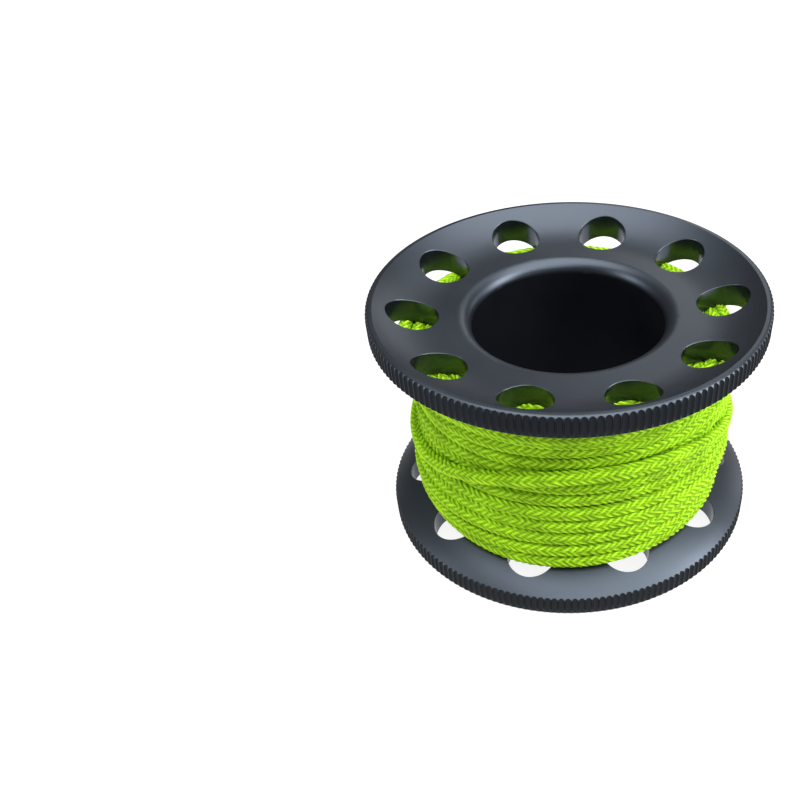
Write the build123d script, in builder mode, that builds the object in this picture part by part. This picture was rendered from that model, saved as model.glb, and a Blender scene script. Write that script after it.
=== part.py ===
"""Finger spool for fishing line.

Two dished flanges of turned aluminium are pressed into the ends of a short tube, the hub sleeve.
The bore goes right through, so that the spool spins on a finger. Each flange has a straight-knurled
rim and a circle of round holes. Braided line is wound on the hub: its inner end is knotted at the
hub. Its last turn lies over the winding, rises across the front and ends in a stopper knot at the back.

The spool stands on its lower rim, with its axis along +Z and the origin at the middle of its foot.
One hole of each flange lies on +X. All sizes are in millimetres.
"""
import os
from math import cos, pi, radians, sin, sqrt, tan

from build123d import *

# Driving dimensions
flange_diameter = 85.0
spool_height = 54.0
bore_diameter = 41.5
hub_diameter = 47.0
winding_diameter = 71.4
line_diameter = 2.8

# Flange section
rim_height = 4.6
rim_land_radius = 41.0
rim_rounding = 0.9
rim_edge_break = 0.4
dish_depth = 4.4
dish_floor_radius = 27.5
web_thickness = 4.9
lip_radius = 2.8
spigot_length = 6.0
spigot_wall = 1.35
edge_break = 0.1

# Holes of a flange
hole_count = 10
hole_diameter = 11.0
hole_circle_diameter = 66.0

# Straight knurl on the rim: concave grooves with narrow crests
groove_count = 180
groove_depth = 0.45
groove_width = 1.36

# Line: a winding, a knot that ties it to the hub, and a last turn that ends in a stopper knot
line_gap = 0.1
winding_end_gap = 0.5
winding_foot_inset = 0.4
winding_belly = 0.8
winding_belly_height = 16.5
winding_belly_top = 23.0
winding_flare = 1.1
winding_flare_height = 40.5
anchor_length = 7.0
anchor_thickness = 5.0
anchor_angle = 60.0
anchor_height = 13.5
anchor_clearance = 0.2
tail_start_angle = 120.4
tail_step = 16.4
tail_runs = 19
link_top = 42.6
link_angle = 92.0
link_sweep = 100.0
tail_low = 24.5
tail_high = 34.3
tail_rise_angle = 205.0
tail_fall_angle = 308.0
tail_slope_sweep = 80.0
stopper_length = 7.0
stopper_thickness = 6.0

# Worked-out sizes
flange_radius = flange_diameter / 2
bore_radius = bore_diameter / 2
hub_radius = hub_diameter / 2
winding_radius = winding_diameter / 2
spigot_radius = bore_radius + spigot_wall
inner_face = dish_depth + web_thickness
lip_crest_radius = bore_radius + lip_radius


def arc_radius(run, rise):
    """Radius of an arc that is level at one end and rises by `rise` over `run`."""
    return (run**2 + rise**2) / (2 * rise)


dish_radius = arc_radius(rim_land_radius - dish_floor_radius, dish_depth)
dome_radius = arc_radius(flange_radius - dish_floor_radius, inner_face - rim_height)


def flange_section():
    """Half section of the lower flange, in the XZ plane: outer face at the bottom, spigot at the top."""
    dish_centre = dish_depth - dish_radius
    dome_centre = inner_face - dome_radius
    dish_mid = (dish_floor_radius + rim_land_radius) / 2
    dome_mid = (dish_floor_radius + flange_radius) / 2
    dish_mid_height = dish_centre + sqrt(dish_radius**2 - (dish_mid - dish_floor_radius) ** 2)
    dome_mid_height = dome_centre + sqrt(dome_radius**2 - (dome_mid - dish_floor_radius) ** 2)
    with BuildSketch(Plane.XZ) as section:
        with BuildLine():
            Polyline(
                (flange_radius, rim_height),
                (flange_radius, 0),
                (rim_land_radius, 0),
            )
            ThreePointArc(
                (rim_land_radius, 0),
                (dish_mid, dish_mid_height),
                (dish_floor_radius, dish_depth),
            )
            Line((dish_floor_radius, dish_depth), (lip_crest_radius, dish_depth))
            RadiusArc(
                (lip_crest_radius, dish_depth),
                (bore_radius, dish_depth + lip_radius),
                lip_radius,
            )
            Polyline(
                (bore_radius, dish_depth + lip_radius),
                (bore_radius, inner_face + spigot_length),
                (spigot_radius, inner_face + spigot_length),
                (spigot_radius, inner_face),
                (dish_floor_radius, inner_face),
            )
            ThreePointArc(
                (dish_floor_radius, inner_face),
                (dome_mid, dome_mid_height),
                (flange_radius, rim_height),
            )
        make_face()
        outer_corner = section.vertices().group_by(Axis.Y)[0].sort_by(Axis.X)[-1]
        fillet(outer_corner, rim_rounding)
        inner_corner = section.vertices().group_by(Axis.X)[-1].sort_by(Axis.Y)[-1]
        fillet(inner_corner, rim_edge_break)
    return section.sketch


def tangent_plane(radius, angle, height):
    """Plane at a point around the axis, with its X along the turn and its Z upwards."""
    turned = radians(angle)
    return Plane(
        origin=(radius * cos(turned), radius * sin(turned), height),
        x_dir=(-sin(turned), cos(turned), 0),
        z_dir=(0, 0, 1),
    )


def knot(place, length, thickness, clearance=0.0):
    """Barrel-shaped body of a knot, centred on a plane and lying along its X."""
    half = length / 2 + clearance
    end_radius = line_diameter / 2 + clearance
    with BuildPart() as body:
        with BuildSketch(place):
            with BuildLine():
                barrel = Spline(
                    (-half, end_radius),
                    (0, thickness / 2 + clearance),
                    (half, end_radius),
                )
                Polyline(barrel @ 1, (half, 0), (-half, 0), barrel @ 0)
            make_face()
        revolve(axis=Axis(place.origin, place.x_dir))
    return body.part


# Flanges
with BuildPart() as lower_flange:
    add(flange_section())
    revolve(axis=Axis.Z)
    with BuildSketch() as holes:
        with PolarLocations(hole_circle_diameter / 2, hole_count):
            Circle(hole_diameter / 2)
    extrude(amount=inner_face, mode=Mode.SUBTRACT)
    hole_walls = [face for face in lower_flange.faces().filter_by(GeomType.CYLINDER)
                  if abs(face.radius - hole_diameter / 2) < 0.01]
    hole_edges = ShapeList(hole_walls).edges().filter_by(GeomType.LINE, reverse=True)
    chamfer(hole_edges, edge_break)
    groove_radius = arc_radius(groove_width / 2, groove_depth)
    with BuildSketch() as grooves:
        with PolarLocations(flange_radius + groove_radius - groove_depth, groove_count):
            Circle(groove_radius)
    extrude(amount=inner_face, mode=Mode.SUBTRACT)
lower_flange.part.label = "lower_flange"

with BuildPart() as upper_flange:
    middle = Plane.XY.offset(spool_height / 2)
    mirror(lower_flange.part, about=middle)
upper_flange.part.label = "upper_flange"

# Hub sleeve: a tube that takes a flange's spigot in each end
with BuildPart() as hub_sleeve:
    with BuildSketch(Plane.XY.offset(inner_face)):
        Circle(hub_radius)
        Circle(bore_radius, mode=Mode.SUBTRACT)
    extrude(amount=spool_height - 2 * inner_face)
    with BuildSketch(Plane.XY.offset(inner_face)):
        Circle(spigot_radius)
    extrude(amount=spigot_length, mode=Mode.SUBTRACT)
    with BuildSketch(Plane.XY.offset(spool_height - inner_face - spigot_length)):
        Circle(spigot_radius)
    extrude(amount=spigot_length, mode=Mode.SUBTRACT)
hub_sleeve.part.label = "hub_sleeve"

# Winding: the outer shape of all the turns, with a pocket at the hub for the anchor knot
anchor_radius = hub_radius + line_gap + anchor_clearance + anchor_thickness / 2
anchor_place = tangent_plane(anchor_radius, anchor_angle, anchor_height)
winding_foot = inner_face + winding_end_gap
with BuildPart() as line_winding:
    with BuildSketch(Plane.XZ):
        with BuildLine():
            belly = ThreePointArc(
                (winding_radius - winding_foot_inset, winding_foot),
                (winding_radius + winding_belly, winding_belly_height),
                (winding_radius, winding_belly_top),
            )
            Polyline(
                belly @ 1,
                (winding_radius, winding_flare_height),
                (winding_radius + winding_flare, spool_height - winding_foot),
                (hub_radius + line_gap, spool_height - winding_foot),
                (hub_radius + line_gap, winding_foot),
                belly @ 0,
            )
        make_face()
    revolve(axis=Axis.Z)
    pocket = knot(anchor_place, anchor_length, anchor_thickness, anchor_clearance)
    add(pocket, mode=Mode.SUBTRACT)
line_winding.part.label = "line_winding"

anchor_knot = knot(anchor_place, anchor_length, anchor_thickness)
anchor_knot.label = "anchor_knot"

# Tail: the last turn of line, from under the upper flange down and once round the winding
def ease(share):
    """Smooth step from 0 to 1."""
    share = min(max(share, 0.0), 1.0)
    return share**2 * (3 - 2 * share)


def tail_height(angle):
    """Height of the tail: a link slants down from the top, then the turn rises and falls once."""
    rise = ease((angle - tail_rise_angle) / tail_slope_sweep)
    fall = ease((angle - tail_fall_angle) / tail_slope_sweep)
    turn_height = tail_low + (tail_high - tail_low) * (rise - fall)
    return link_top + (turn_height - link_top) * ease((angle - link_angle) / link_sweep)


winding_surface = winding_radius + line_gap
corner_radius = (winding_surface + line_diameter / 2) / cos(radians(tail_step / 2))
tail_points = []
for corner in range(tail_runs + 1):
    angle = tail_start_angle + corner * tail_step
    distance = corner_radius if corner < tail_runs else winding_surface + stopper_thickness / 2
    turned = radians(angle)
    tail_points.append(Vector(distance * cos(turned), distance * sin(turned), tail_height(angle)))
runs = [end - start for start, end in zip(tail_points, tail_points[1:])]
tail_bends = []
for before, after in zip(runs, runs[1:]):
    turn = radians(before.get_angle(after))
    tail_bends.append(0.45 * min(before.length, after.length) / tan(turn / 2))
print("tail bend radii", [round(bend, 1) for bend in tail_bends])

with BuildPart() as line_tail:
    with BuildLine():
        tail_route = FilletPolyline(*tail_points, radius=tail_bends)
    with BuildSketch(Plane(origin=tail_route @ 0, z_dir=tail_route % 0)):
        Circle(line_diameter / 2)
    sweep()
line_tail.part.label = "line_tail"
print("tail volume over section times length",
      round(line_tail.part.volume / (pi * line_diameter**2 / 4 * tail_route.length), 4))

# Stopper knot on the tail's end
stopper_place = Plane(
    origin=tail_route @ 1 + (tail_route % 1) * stopper_length / 2,
    x_dir=tail_route % 1,
    z_dir=(0, 0, 1),
)
stopper_knot = knot(stopper_place, stopper_length, stopper_thickness)
stopper_knot.label = "stopper_knot"

os.makedirs("parts", exist_ok=True)
for piece in (
    lower_flange.part,
    upper_flange.part,
    hub_sleeve.part,
    line_winding.part,
    line_tail.part,
    anchor_knot,
    stopper_knot,
):
    export_step(piece, f"parts/{piece.label}.step")
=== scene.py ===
"""Looks of a finger spool with braided line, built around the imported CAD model.

The two flanges and the hub sleeve are the CAD nodes with better materials. The line is one cord:
its route is worked out turn by turn from the hub outwards, and a braided tube follows it. All sizes
are in metres.
"""
from math import cos, pi, radians, sin, sqrt

import bpy
import numpy as np
from mathutils import Matrix, Vector


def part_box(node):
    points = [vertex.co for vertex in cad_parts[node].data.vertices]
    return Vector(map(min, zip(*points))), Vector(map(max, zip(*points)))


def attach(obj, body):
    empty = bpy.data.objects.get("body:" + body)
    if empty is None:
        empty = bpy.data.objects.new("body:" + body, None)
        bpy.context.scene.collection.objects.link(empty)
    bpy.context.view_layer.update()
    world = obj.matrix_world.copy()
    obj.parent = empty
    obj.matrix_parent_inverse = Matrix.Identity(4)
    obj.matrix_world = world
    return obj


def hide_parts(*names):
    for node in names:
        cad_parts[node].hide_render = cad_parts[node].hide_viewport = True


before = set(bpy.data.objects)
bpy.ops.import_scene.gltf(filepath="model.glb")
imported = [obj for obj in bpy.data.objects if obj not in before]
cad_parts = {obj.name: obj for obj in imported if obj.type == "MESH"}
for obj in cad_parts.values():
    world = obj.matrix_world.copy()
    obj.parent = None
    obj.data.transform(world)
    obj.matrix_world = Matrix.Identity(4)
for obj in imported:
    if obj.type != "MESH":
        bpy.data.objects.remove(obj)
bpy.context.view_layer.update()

# The spool's sizes, as in the CAD model
spool_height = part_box("upper_flange")[1][2]
hub_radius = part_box("hub_sleeve")[1][0]
web_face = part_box("hub_sleeve")[0][2]
flange_radius = 0.0425
rim_height = 0.0046
dish_floor_radius = 0.0275
hole_circle_radius = 0.033
# The holes' walls lie within this distance of their circle.
hole_reach = 0.006

# The line and its section, a rounded oblong
line = 0.0028
line_half_width = 0.52 * line
line_half_depth = 0.47 * line
section_power = 2.5
section_sides = 24

# The braid
columns = 6
stitch = 0.00166
stitch_lean = 1.3
braid_depth = 0.0004
braid_mean = 0.55
rings_per_stitch = 6
hidden_ring_step = 0.0015
# It is modelled where it shows: on the outer layers, and through the holes beside the flanges.
shown_from_hub = 3.2 * line
shown_beside_flange = 1.6 * line

# The winding: its layers from the hub outwards
layers = 5
inner_layer_turns = 11.25
outer_layer_turns = 12
points_per_turn = 24
smooth_steps = 12
hub_gap = 0.0001

# Outer layer, from foot to top: centre radius at each height. It swells a third of the way up and
# flares at the top.
outer_heights = (0.0094, 0.013, 0.016, 0.020, 0.024, 0.0275, 0.036, 0.040, 0.044)
outer_radii = (0.0339, 0.03455, 0.0350, 0.0350, 0.0343, 0.0339, 0.0339, 0.0343, 0.0354)

# Angles in degrees round the spool, counted from the hole on +X
anchor_angle = 60.0
last_layer_end = 88.0
stopper_angle = 72.0

# The last turn, which lies over the winding
over_turn_rise_from = 205.0
over_turn_fall_from = 308.0
over_turn_run = 80.0
over_turn_low = 0.0245
over_turn_high = 0.0343
link_delay = 4.0
link_run = 100.0

# How far it stands out from the outer layer: everywhere, more at the front, and most at the stopper
over_turn_lift = 0.0012
over_turn_front_lift = 0.0013
over_turn_lift_lead = 8.0
over_turn_lift_run = 28.0
stopper_lift = 0.0022
stopper_lift_run = 40.0

# Stopper knot
stopper_wraps = 2.3
stopper_length = 0.0042
stopper_wrap_radius = 0.0016
stopper_offset = 0.0035
stopper_rings = 160


# Camera


def add_camera():
    """Camera in front of the spool, a little to its left, looking down at it."""
    azimuth = radians(-3.867)
    distance, height = 0.1719, 0.1551
    heading, pitch, roll = radians(-1.384), radians(44.58), radians(-1.863)
    data = bpy.data.cameras.new("camera")
    data.lens = 41.55
    data.sensor_width = 36.0
    data.shift_x = -0.175
    data.shift_y = 0.1566
    data.clip_start = 0.01
    camera = bpy.data.objects.new("camera", data)
    place = Matrix.Translation((distance * sin(azimuth), -distance * cos(azimuth), height))
    turn = Matrix.Rotation(heading, 4, "Z") @ Matrix.Rotation(pi / 2 - pitch, 4, "X")
    camera.matrix_world = place @ turn @ Matrix.Rotation(roll, 4, "Z")
    bpy.context.scene.collection.objects.link(camera)
    bpy.context.scene.camera = camera


# Route of the line


def ease(share):
    """Smooth step from 0 to 1."""
    share = min(max(share, 0.0), 1.0)
    return share * share * (3 - 2 * share)


def web_height(radius):
    """Height of the lower flange's inner face at a distance from the axis."""
    run, rise = flange_radius - dish_floor_radius, web_face - rim_height
    dome = (run**2 + rise**2) / (2 * rise)
    out = max(0.0, radius - dish_floor_radius)
    return web_face - dome + sqrt(dome**2 - out**2)


def outer_radius(height):
    """Centre radius of the outermost layer at a height."""
    return float(np.interp(height, outer_heights, outer_radii))


def layer_radius(layer, height):
    """Centre radius of a layer, counted from 0 at the hub."""
    first = hub_radius + line_half_depth + hub_gap
    return first + (outer_radius(height) - first) * layer / (layers - 1)


def unevenness(angle, height):
    """How far the outermost layer stands out from its mean radius at a place on it.

    It leans to the right in its middle and to the left near both ends, bulges at the front near its
    foot and sags at the back near its top.
    """
    heights = (0.0094, 0.013, 0.016, 0.020, 0.024, 0.036, 0.044)
    leans = (0.0001, -0.0006, 0.0, 0.0006, 0.0008, 0.0007, -0.0007)
    to_right = float(np.interp(height, heights, leans))
    to_front = float(np.interp(height, (0.0094, 0.0125, 0.018), (0.0019, 0.0011, 0.0002)))
    from_back = float(np.interp(height, (0.036, 0.044), (0.0, 0.0007)))
    front_bulge = to_front * max(0.0, -sin(angle)) ** 2.5
    return to_right * cos(angle) + front_bulge - from_back * max(0.0, sin(angle)) ** 2


def layer_rows(layer, start, turns):
    """Turns laid side by side from one flange to the other: (turn, radius, height, layer) rows."""
    low = web_height(layer_radius(layer, web_face)) + line_half_width
    high = spool_height - web_height(layer_radius(layer, spool_height - web_face)) - line_half_width
    steps = int(round(turns * points_per_turn))
    rows = []
    for step in range(steps):
        # The first half turn and the last turn of a layer lie flat against the flanges.
        share = min(max((step / steps * turns - 0.5) / (turns - 1.5), 0.0), 1.0)
        height = low + (high - low) * (share if layer % 2 == 0 else 1 - share)
        rows.append((start + step / points_per_turn, layer_radius(layer, height), height, layer))
    return rows


def winding_rows():
    """All the layers as (turn, radius, height, layer) rows, from the hub outwards."""
    rows = []
    start = anchor_angle / 360
    for layer in range(layers):
        turns = inner_layer_turns
        if layer == layers - 1:
            turns = outer_layer_turns + (last_layer_end - anchor_angle) / 360
        rows += layer_rows(layer, start, turns)
        start += turns
    return rows


def over_turn_height(degrees):
    """Height of the last turn, which rises and falls once across the spool's front."""
    rise = ease((degrees - over_turn_rise_from) / over_turn_run)
    fall = ease((degrees - over_turn_fall_from) / over_turn_run)
    return over_turn_low + (over_turn_high - over_turn_low) * (rise - fall)


def over_turn_rows(turn, from_height):
    """The last turn as (turn, radius, height, layer) rows, with the slanting link that leads to it.

    The rows go on from a turn and a height.
    """
    step = 360 / points_per_turn
    rows = []
    degrees = last_layer_end + step
    while degrees < 360 + stopper_angle + step / 2:
        level = ease((degrees - last_layer_end - link_delay) / link_run)
        height = from_height + (over_turn_height(degrees) - from_height) * level
        at_front = max(0.0, -sin(radians(degrees)))
        climb = ease((degrees - last_layer_end + over_turn_lift_lead) / over_turn_lift_run)
        on_top = (over_turn_lift + over_turn_front_lift * at_front) * climb
        past_stopper = degrees - 360 - stopper_angle
        on_top += stopper_lift * ease((past_stopper + stopper_lift_run) / stopper_lift_run)
        turn += 1 / points_per_turn
        rows.append((turn, outer_radius(height) + on_top, height, layers - 1))
        degrees += step
    return rows


def route_points():
    """Control points of the route: its rows with the unevenness of line wound by hand."""
    # The smooth line runs inside its control points, at this share of their distance from the axis.
    corner_cut = 0.75 + 0.25 * cos(2 * pi / points_per_turn)
    rows = winding_rows()
    last_turn, _, last_height, _ = rows[-1]
    points = []
    for turn, radius, height, layer in rows + over_turn_rows(last_turn, last_height):
        angle = 2 * pi * turn
        # Sway is along the spool's axis and lift away from it. Both differ from turn to turn.
        sway = 0.00022 * sin(1.9 * turn + angle) + 0.00016 * sin(3 * angle + 2.3 * turn)
        lift = 0.00016 * sin(2.6 * turn + angle) + 0.00012 * sin(4 * angle + 1.7 * turn)
        reach = (radius + lift + unevenness(angle, height) * layer / (layers - 1)) / corner_cut
        points.append(Vector((reach * cos(angle), reach * sin(angle), height + sway)))
    return points


def nurbs_line(points, resolution):
    """Points along the smooth line that the control points shape."""
    curve = bpy.data.curves.new("route", "CURVE")
    curve.dimensions = "3D"
    spline = curve.splines.new("NURBS")
    spline.points.add(len(points) - 1)
    spline.points.foreach_set("co", [c for p in points for c in (*p, 1.0)])
    spline.order_u = 3
    spline.use_endpoint_u = True
    spline.resolution_u = resolution
    holder = bpy.data.objects.new("route", curve)
    mesh = bpy.data.meshes.new_from_object(holder)
    line_points = np.zeros(len(mesh.vertices) * 3)
    mesh.vertices.foreach_get("co", line_points)
    bpy.data.objects.remove(holder)
    bpy.data.curves.remove(curve)
    bpy.data.meshes.remove(mesh)
    return line_points.reshape(-1, 3)


# Braided tube


def arc_lengths(points):
    """Distance along a line at each of its points."""
    steps = np.linalg.norm(np.diff(points, axis=0), axis=1)
    return np.concatenate([[0.0], np.cumsum(steps)])


def resample(points, at):
    """Points of a line at given distances along it."""
    along = arc_lengths(points)
    return np.stack([np.interp(at, along, points[:, axis]) for axis in range(3)], axis=1)


def unit(vectors):
    """Vectors of length 1 in the same directions."""
    return vectors / np.linalg.norm(vectors, axis=1, keepdims=True)


def square_to(vectors, tangent):
    """Unit vectors made square to the line's direction."""
    return unit(vectors - tangent * np.sum(vectors * tangent, axis=1, keepdims=True))


def braid_relief(along, around):
    """Height of a braid's surface from 0 to 1. Its columns of stitches lean left and right."""
    place = (around * columns) % columns
    column = np.floor(place)
    across = place - column - 0.5
    lean = np.where(column % 2 == 0, 1.0, -1.0)
    # No two stitches are quite alike.
    slack = 0.11 * np.sin(along / 0.00113 + 2.1 * column)
    slack = slack + 0.09 * np.sin(along / 0.00067 + 1.3 * column)
    phase = along / stitch - 0.5 * (column % 2) - stitch_lean * lean * across + slack
    phase -= np.round(phase)
    ridge = np.cos(pi * phase) ** 2
    return ridge**0.7 * (1 - 1.9 * across**2)


def strip_map(mesh, places):
    """UV map of a long tube: its unrolled surface in rows, one above the other."""
    # There is a gap between rows and a margin round the map. The two end caps share a corner.
    row_fill, map_size, map_margin, cap_corner = 0.96, 0.97, 0.005, 0.998
    row_length = sqrt(places[-1] * pi * line)
    row_height = row_length / places[-1]
    row = np.floor(places[:-1] / row_length)
    start = (places[:-1] - row * row_length) / row_length
    end = (places[1:] - row * row_length) / row_length
    side = np.arange(section_sides) / section_sides
    low = (row[:, None] + row_fill * side[None, :]) * row_height
    high = (row[:, None] + row_fill * (side[None, :] + 1 / section_sides)) * row_height
    u = np.stack([np.broadcast_to(e[:, None], low.shape) for e in (start, end, end, start)], axis=2)
    v = np.stack([low, low, high, high], axis=2)
    corners = np.stack([u, v], axis=3).reshape(-1, 2) * map_size + map_margin
    caps = np.full((2 * section_sides, 2), cap_corner)
    layer = mesh.uv_layers.new(name="OFBake")
    layer.uv.foreach_set("vector", np.concatenate([corners, caps]).reshape(-1).astype(np.float32))


def tube_faces(rings):
    """Faces of a closed tube: quads between its rings and a cap at each end."""
    ring = np.arange(rings - 1)[:, None] * section_sides
    side = np.arange(section_sides)[None, :]
    ahead = (side + 1) % section_sides
    next_ring = ring + section_sides
    quads = np.stack([ring + side, next_ring + side, next_ring + ahead, ring + ahead], axis=2)
    faces = quads.reshape(-1, 4).tolist()
    faces.append(list(range(section_sides)))
    faces.append(list(range((rings - 1) * section_sides, rings * section_sides))[::-1])
    return faces


def braided_tube(name, points, places, tangent, outward, braided):
    """Closed tube with a braid's relief where braided is 1, and a plain one where it is 0."""
    sideways = np.cross(tangent, outward)
    around = (np.arange(section_sides) + 0.5) / section_sides
    # The braid twists a little one way and the other along the line.
    roll = 0.06 * np.sin(places / 0.037) + 0.04 * np.sin(places / 0.011)
    relief = braid_relief(places[:, None], around[None, :] + roll[:, None])
    swell = (relief - braid_mean) * braid_depth * braided[:, None]
    out, aside = np.cos(2 * pi * around), np.sin(2 * pi * around)
    # The section is a rounded oblong: neighbouring turns press flat against each other.
    plump = (np.abs(out) ** section_power + np.abs(aside) ** section_power) ** (-1 / section_power)
    reach_out = (plump * out)[None, :] * line_half_depth + out[None, :] * swell
    reach_aside = (plump * aside)[None, :] * line_half_width + aside[None, :] * swell
    vertices = (points[:, None, :] + reach_out[:, :, None] * outward[:, None, :]
                + reach_aside[:, :, None] * sideways[:, None, :]).reshape(-1, 3)
    mesh = bpy.data.meshes.new(name)
    mesh.from_pydata(vertices.tolist(), [], tube_faces(len(points)))
    mesh.polygons.foreach_set("use_smooth", [True] * len(mesh.polygons))
    # The braid's relief is kept on the mesh for the line's colour, which paints shade between the
    # stitches.
    shade = mesh.attributes.new("relief", "FLOAT", "POINT")
    shown = np.where(braided[:, None] > 0, relief, 0.5)
    shade.data.foreach_set("value", shown.reshape(-1).astype(np.float32))
    strip_map(mesh, places)
    tube = bpy.data.objects.new(name, mesh)
    bpy.context.scene.collection.objects.link(tube)
    return tube


def ring_places(points):
    """Distances along the route for the tube's rings, and 1 for those where the line shows."""
    along = arc_lengths(points)
    radius = np.hypot(points[:, 0], points[:, 1])
    from_end = np.minimum(points[:, 2], spool_height - points[:, 2])
    beside_flange = (from_end < web_face + shown_beside_flange) & (radius > hub_radius + line)
    shows = (radius > hub_radius + shown_from_hub) | beside_flange
    places, here = [0.0], 0.0
    while here < along[-1]:
        index = min(np.searchsorted(along, here), len(along) - 1)
        here += stitch / rings_per_stitch if shows[index] else hidden_ring_step
        places.append(min(here, along[-1]))
    places = np.array(places)
    seen = np.interp(places, along, shows.astype(float)) > 0.5
    return places, seen.astype(float)


def add_line():
    """The whole line as one braided tube, with its centres."""
    route = nurbs_line(route_points(), smooth_steps)
    places, braided = ring_places(route)
    centres = resample(route, places)
    tangent = unit(np.gradient(centres, axis=0))
    outward = square_to(centres * [1.0, 1.0, 0.0], tangent)
    return braided_tube("line", centres, places, tangent, outward, braided), centres


def add_stopper(end, tangent):
    """Stopper knot: the line's end wraps round itself, in line with the last turn."""
    share = np.linspace(0, 1, stopper_rings)
    middle = end + tangent * stopper_offset
    outward = np.array(Vector((middle[0], middle[1], 0)).normalized())
    upward = np.cross(tangent, outward)
    turn = 2 * pi * stopper_wraps * share
    radial = np.cos(turn)[:, None] * outward + np.sin(turn)[:, None] * upward
    points = middle + radial * stopper_wrap_radius
    points += (share - 0.5)[:, None] * stopper_length * tangent
    along = unit(np.gradient(points, axis=0))
    places, braided = arc_lengths(points), np.ones(len(points))
    return braided_tube("line_stopper", points, places, along, square_to(radial, along), braided)


# Materials


def new_material(name):
    """A new material, a function that adds a node, one that fills a socket, and the shader."""
    material = bpy.data.materials.new(name)
    material.use_nodes = True
    tree = material.node_tree

    def add(kind, settings=(), **inputs):
        """Node of a kind. Inputs are numbers or colours, or another node's output to link."""
        node = tree.nodes.new("ShaderNode" + kind)
        for setting, value in dict(settings).items():
            setattr(node, setting, value)
        for socket, value in inputs.items():
            fill(node.inputs[socket.replace("_", " ")], value)
        return node

    def fill(socket, value):
        """Link a socket to an output, or set its value."""
        if isinstance(value, bpy.types.NodeSocket):
            tree.links.new(value, socket)
        else:
            socket.default_value = value

    return material, add, fill, tree.nodes["Principled BSDF"]


def set_ramp(node, *stops):
    """Set a colour ramp's stops, each (position, red, green, blue)."""
    elements = node.color_ramp.elements
    while len(elements) < len(stops):
        elements.new(0.5)
    for element, (position, *colour) in zip(elements, stops):
        element.position = position
        element.color = (*colour, 1)
    return node.outputs["Color"]


def anodised_material():
    """Black anodised aluminium with a fine turned grain."""
    material, add, fill, shader = new_material("anodised_aluminium")
    place = add("TexCoord").outputs["Object"]
    mottle = add("TexNoise", Vector=place, Scale=60.0, Detail=4.0).outputs["Fac"]
    colour = set_ramp(add("ValToRGB", Fac=mottle),
                      (0.3, 0.0035, 0.0042, 0.0055), (0.7, 0.006, 0.007, 0.009))
    rings = add("TexWave", {"wave_type": "RINGS", "rings_direction": "Z"},
                Vector=place, Scale=900.0, Distortion=0.6)
    grain = add("Bump", Height=rings.outputs["Fac"], Strength=0.04, Distance=0.0001)
    satin = add("MapRange", Value=mottle, To_Min=0.34, To_Max=0.44).outputs["Result"]
    # Turned faces are glossier than the bore's walls and the knurl, which stand upright; the bore's
    # dullness is painted shade.
    slant = add("SeparateXYZ", Vector=add("NewGeometry").outputs["Normal"])
    facing = add("Math", {"operation": "ABSOLUTE"}, Value=slant.outputs["Z"])
    slope = add("MapRange", Value=facing.outputs["Value"], From_Min=0.06, From_Max=0.22)
    turned = slope.outputs["Result"]
    # The reamed walls of the holes are smooth too. They are told by their distance from the axis.
    flat = add("VectorMath", {"operation": "MULTIPLY"}, Vector=place)
    flat.inputs[1].default_value = (1, 1, 0)
    reach = add("VectorMath", {"operation": "LENGTH"}, Vector=flat.outputs["Vector"])
    distance = reach.outputs["Value"]
    drilled = add("Math", {"operation": "COMPARE"}, Value=distance)
    drilled.inputs[1].default_value = hole_circle_radius
    drilled.inputs[2].default_value = hole_reach
    smooth = add("Math", {"operation": "MAXIMUM"}, Value=turned)
    fill(smooth.inputs[1], drilled.outputs["Value"])
    # Other upright walls are duller. The bore is duller than the knurl: its near-zero specular
    # level is painted shade inside the bore, while the knurl's dullness is its matt finish.
    upright_gloss_and_bore_shade = add("MapRange", Value=distance, From_Min=hub_radius, From_Max=flange_radius,
                  To_Min=0.02, To_Max=0.17)
    gloss = add("MapRange", Value=smooth.outputs["Value"],
                To_Min=upright_gloss_and_bore_shade.outputs["Result"], To_Max=0.98)
    # The holes' walls are less rough than the turned faces.
    hole_polish = 0.17
    polish = add("Math", {"operation": "SUBTRACT"}, Value=smooth.outputs["Value"])
    fill(polish.inputs[1], turned)
    roughness = add("Math", {"operation": "MULTIPLY_ADD"}, Value=polish.outputs["Value"])
    roughness.inputs[1].default_value = -hole_polish
    fill(roughness.inputs[2], satin)
    fill(shader.inputs["Base Color"], colour)
    fill(shader.inputs["Normal"], grain.outputs["Normal"])
    fill(shader.inputs["Roughness"], roughness.outputs["Value"])
    fill(shader.inputs["Specular IOR Level"], gloss.outputs["Result"])
    fill(shader.inputs["Specular Tint"], (0.68, 0.81, 1.0, 1))
    return material


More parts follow.
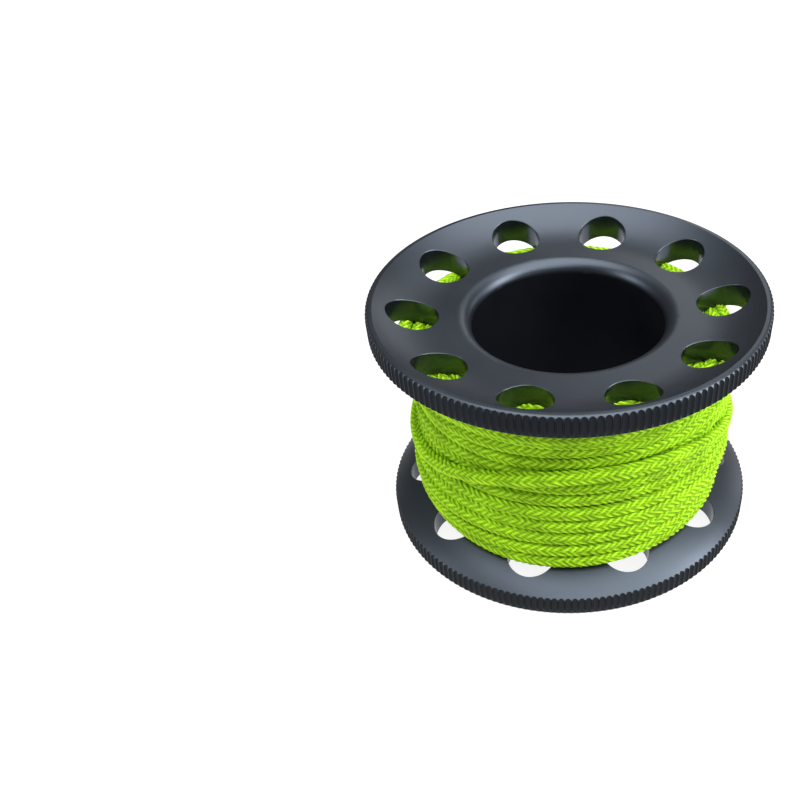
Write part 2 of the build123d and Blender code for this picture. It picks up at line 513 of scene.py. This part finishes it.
def line_material():
    """Fluorescent yellow-green braid, with painted shade: darker between the stitches, lighter on
    their crowns.
    """
    material, add, fill, shader = new_material("braided_line")
    place = add("TexCoord").outputs["Object"]
    relief = add("Attribute", {"attribute_name": "relief"}).outputs["Fac"]
    # The braid's relief sets the colour: painted shade, darkest between the stitches and lightest
    # on their crowns.
    colour = set_ramp(add("ValToRGB", Fac=relief), (0.0, 0.075, 0.19, 0.002),
                      (0.5, 0.23, 0.47, 0.006), (0.95, 0.50, 0.79, 0.030))
    # Handled line is a little paler in some places and deeper in others.
    patches = add("TexNoise", Vector=place, Scale=220.0, Detail=3.0).outputs["Fac"]
    strength = add("MapRange", Value=patches, From_Min=0.3, From_Max=0.7, To_Min=0.80, To_Max=1.16)
    varied = add("HueSaturation", Value=strength.outputs["Result"], Color=colour)
    fibre = add("TexNoise", Vector=place, Scale=4000.0).outputs["Fac"]
    fuzz = add("Bump", Height=fibre, Strength=0.25, Distance=0.0001)
    fill(shader.inputs["Base Color"], varied.outputs["Color"])
    fill(shader.inputs["Normal"], fuzz.outputs["Normal"])
    fill(shader.inputs["Roughness"], 0.75)
    fill(shader.inputs["Specular IOR Level"], 0.12)
    return material


def paint(piece, material):
    """Give a piece one material."""
    piece.data.materials.clear()
    piece.data.materials.append(material)


# Stage


def add_floor():
    """Plain pale floor. Most of its brightness is its own, so that shadows on it stay faint."""
    half = 3.0
    corners = [(-half, -half, 0), (half, -half, 0), (half, half, 0), (-half, half, 0)]
    mesh = bpy.data.meshes.new("floor")
    mesh.from_pydata(corners, [], [(0, 1, 2, 3)])
    floor = bpy.data.objects.new("floor", mesh)
    bpy.context.scene.collection.objects.link(floor)
    material, _, fill, shader = new_material("floor")
    fill(shader.inputs["Base Color"], (0.18, 0.18, 0.18, 1))
    fill(shader.inputs["Emission Color"], (1, 1, 1, 1))
    fill(shader.inputs["Emission Strength"], 0.88)
    fill(shader.inputs["Roughness"], 0.9)
    fill(shader.inputs["Specular IOR Level"], 0.1)
    paint(floor, material)


def add_softbox(name, place, size, power):
    """Rectangular light that faces the middle of the spool."""
    data = bpy.data.lights.new(name, "AREA")
    data.shape = "RECTANGLE"
    data.size, data.size_y = size
    data.energy = power
    box = bpy.data.objects.new(name, data)
    box.location = place
    box.rotation_mode = "QUATERNION"
    facing = Vector((0, 0, spool_height / 2)) - Vector(place)
    box.rotation_quaternion = facing.to_track_quat("-Z", "Y")
    bpy.context.scene.collection.objects.link(box)


def add_light():
    """Soft studio light: a wide overhead box and smaller ones at the sides and the back."""
    world = bpy.data.worlds.new("studio")
    world.use_nodes = True
    world.node_tree.nodes["Background"].inputs["Color"].default_value = (1, 1, 1, 1)
    world.node_tree.nodes["Background"].inputs["Strength"].default_value = 0.10
    bpy.context.scene.world = world
    add_softbox("overhead", (0.10, -0.11, 0.60), (0.78, 1.05), 10.8)
    add_softbox("right", (0.50, -0.10, 0.26), (0.26, 0.34), 3.0)
    add_softbox("left", (-0.50, -0.10, 0.22), (0.22, 0.30), 1.3)
    add_softbox("back", (0.24, 0.75, 0.38), (0.30, 0.34), 0.5)
    add_softbox("back right", (0.68, 0.46, 0.18), (0.20, 0.26), 0.4)
    bpy.context.scene.view_settings.view_transform = "Standard"


# The pieces

add_camera()
metal, braid = anodised_material(), line_material()

line_tube, line_route = add_line()
stopper = add_stopper(line_route[-1], unit(line_route[-1:] - line_route[-2:-1])[0])
for piece, stands_for in ((line_tube, ("line_winding", "line_tail")), (stopper, ("stopper_knot",))):
    paint(piece, braid)
    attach(piece, "root")
    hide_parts(*stands_for)

for node in ("lower_flange", "upper_flange", "hub_sleeve"):
    paint(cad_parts[node], metal)
paint(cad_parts["anchor_knot"], braid)

add_floor()
add_light()
